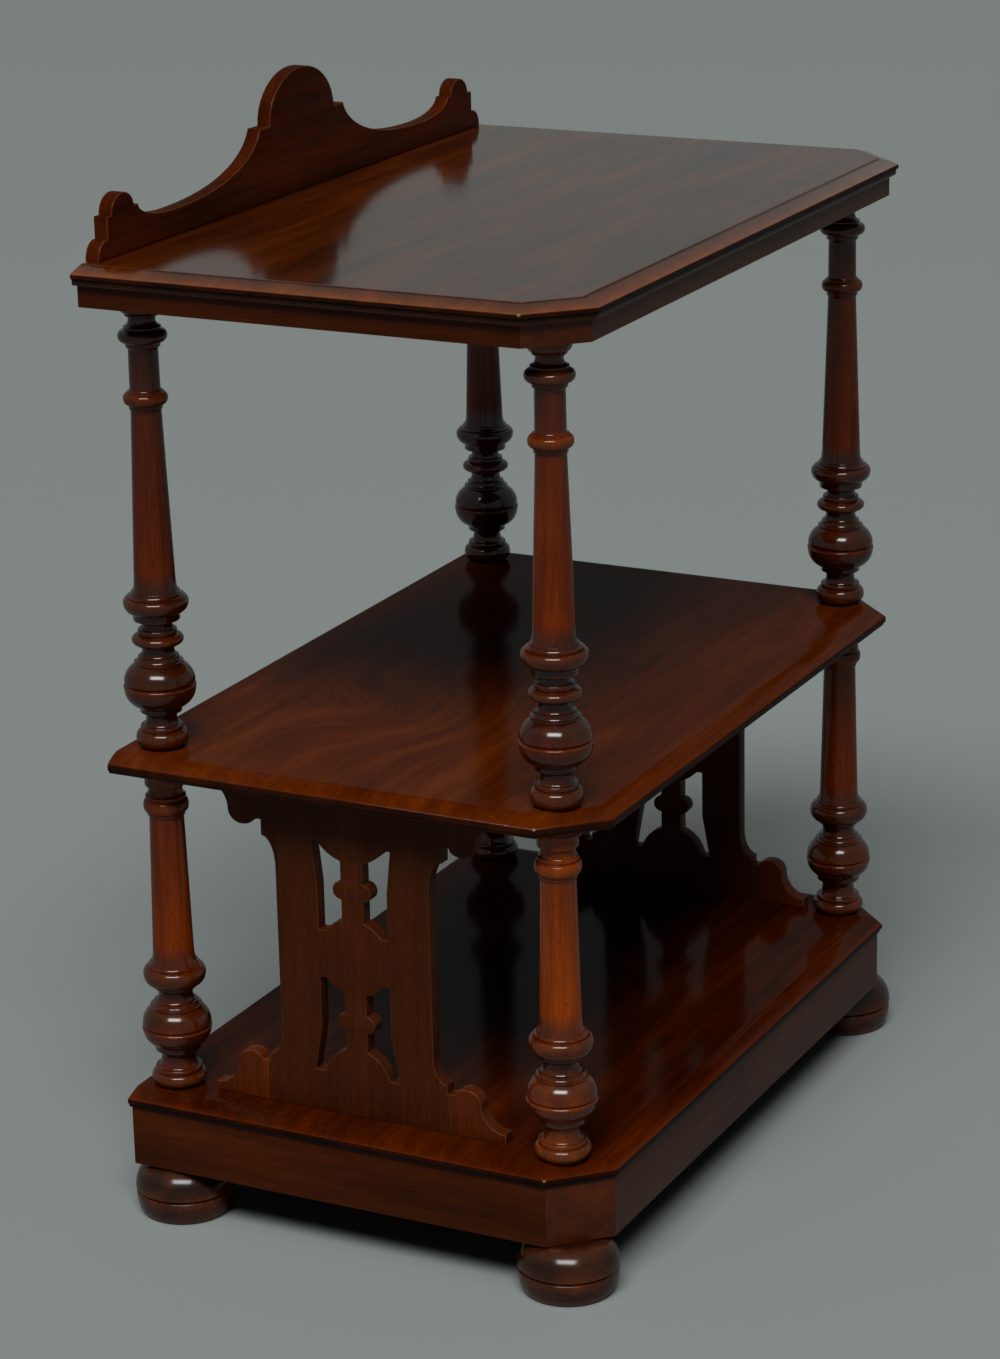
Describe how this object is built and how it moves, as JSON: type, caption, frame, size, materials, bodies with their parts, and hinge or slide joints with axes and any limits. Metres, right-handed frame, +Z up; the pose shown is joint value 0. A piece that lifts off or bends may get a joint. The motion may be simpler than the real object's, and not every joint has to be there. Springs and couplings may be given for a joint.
{
  "type": "etagere",
  "caption": "Tiered wooden etagere with a shaped back gallery, turned corner columns, pierced end trestles, canted boards on a plinth and bun feet.",
  "frame": {"origin": "on the floor, midway between the four bun feet", "axes": "+Z up, +X along the front towards the right end, -Y towards the front, +Y towards the back where the gallery stands"},
  "size_m": [0.774, 0.492, 1.0214],
  "materials": {
    "top_board_wood": "French-polished mahogany, glossy, grain along the length",
    "shelf_wood": "French-polished mahogany, glossy, darker",
    "gallery_wood": "polished mahogany, satin",
    "rail_wood": "polished mahogany, satin, grain along the rail",
    "column_wood": "turned and polished mahogany, glossy, worn to orange on the crests",
    "trestle_wood": "mahogany with upright grain, dull satin",
    "foot_wood": "turned mahogany, dark, polished and worn",
    "dowel_wood": "bare beech"
  },
  "bodies": {
    "root": {"top_board": "top_board_wood", "middle_shelf": "shelf_wood", "base_board": "shelf_wood", "gallery_board": "gallery_wood", "frieze_front_rail": "rail_wood", "frieze_left_rail": "rail_wood", "frieze_right_rail": "rail_wood", "frieze_back_rail": "rail_wood", "frieze_block_front_left": "rail_wood", "frieze_block_front_right": "rail_wood", "frieze_block_back_left": "rail_wood", "frieze_block_back_right": "rail_wood", "plinth_front_rail": "rail_wood", "plinth_left_rail": "rail_wood", "plinth_right_rail": "rail_wood", "plinth_back_rail": "rail_wood", "plinth_block_front_left": "rail_wood", "plinth_block_front_right": "rail_wood", "plinth_block_back_left": "rail_wood", "plinth_block_back_right": "rail_wood", "upper_column_front_left": "column_wood", "upper_column_front_right": "column_wood", "upper_column_back_left": "column_wood", "upper_column_back_right": "column_wood", "lower_column_front_left": "column_wood", "lower_column_front_right": "column_wood", "lower_column_back_left": "column_wood", "lower_column_back_right": "column_wood", "bun_foot_front_left": "foot_wood", "bun_foot_front_right": "foot_wood", "bun_foot_back_left": "foot_wood", "bun_foot_back_right": "foot_wood", "trestle_panel_left": "trestle_wood", "trestle_panel_right": "trestle_wood", "trestle_scroll_left_front": "trestle_wood", "trestle_scroll_left_back": "trestle_wood", "trestle_scroll_right_front": "trestle_wood", "trestle_scroll_right_back": "trestle_wood", "trestle_ear_left_front": "trestle_wood", "trestle_ear_left_back": "trestle_wood", "trestle_ear_right_front": "trestle_wood", "trestle_ear_right_back": "trestle_wood", "foot_dowel_left_front": "dowel_wood", "foot_dowel_left_back": "dowel_wood", "foot_dowel_right_front": "dowel_wood", "foot_dowel_right_back": "dowel_wood", "head_dowel_left_front": "dowel_wood", "head_dowel_left_back": "dowel_wood", "head_dowel_right_front": "dowel_wood", "head_dowel_right_back": "dowel_wood", "gallery_dowel_left": "dowel_wood", "gallery_dowel_middle": "dowel_wood", "gallery_dowel_right": "dowel_wood"}
  },
  "joints": []
}
